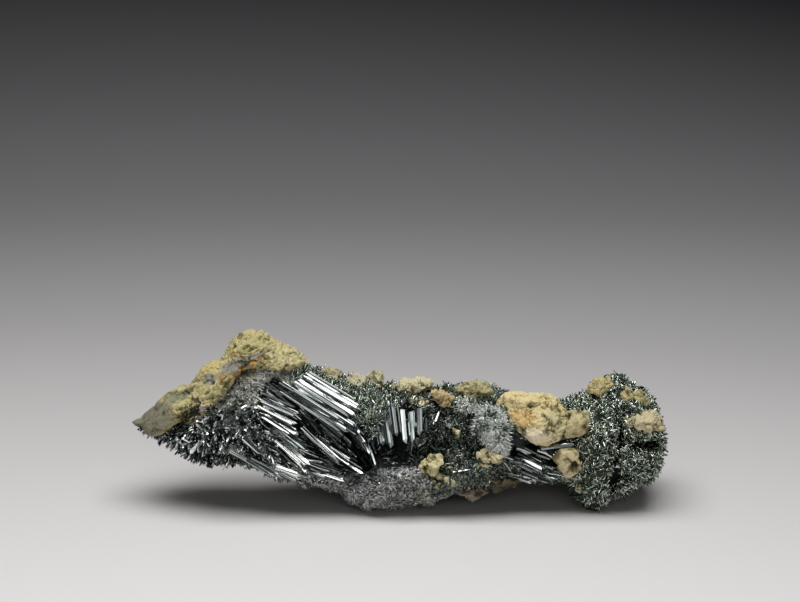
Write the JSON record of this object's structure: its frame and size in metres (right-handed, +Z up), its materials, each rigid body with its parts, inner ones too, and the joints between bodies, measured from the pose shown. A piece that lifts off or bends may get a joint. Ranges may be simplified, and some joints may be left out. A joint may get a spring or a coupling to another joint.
{
  "type": "stibnite crystal specimen",
  "caption": "Elongated spray of metallic grey stibnite blades and needles on yellow clay matrix, raised at one end and resting on its belly.",
  "frame": {"origin": "on the flat rest patch under the belly, about midway along the specimen", "axes": "+X along the specimen from the pointed rock tip to the needle-covered knob, +Z up, -Y the display side"},
  "size_m": [0.1202, 0.0348, 0.038],
  "materials": {
    "stibnite": "lead-grey metallic crystals, striated and bright on their long faces",
    "clay_matrix": "rough, dull, olive-yellow to cream clay-altered rock with ochre stain"
  },
  "bodies": {
    "root": {"stibnite_mass": "stibnite", "matrix_peak": "clay_matrix", "large_lump": "clay_matrix", "lump_lobe": "clay_matrix", "lump_wedge": "clay_matrix", "knob_crown": "clay_matrix", "knob_cap": "clay_matrix", "knob_cap_side": "clay_matrix", "knob_shelf": "clay_matrix", "ridge_lump_1": "clay_matrix", "ridge_lump_2": "clay_matrix", "ridge_lump_3": "clay_matrix", "ridge_lump_4": "clay_matrix", "ridge_lump_5": "clay_matrix", "ridge_lump_6": "clay_matrix", "front_nugget": "clay_matrix", "front_shell": "clay_matrix", "front_shell_foot": "clay_matrix", "stained_lump": "clay_matrix", "belly_lump": "clay_matrix", "back_lump_1": "clay_matrix", "back_lump_2": "clay_matrix"}
  },
  "joints": []
}
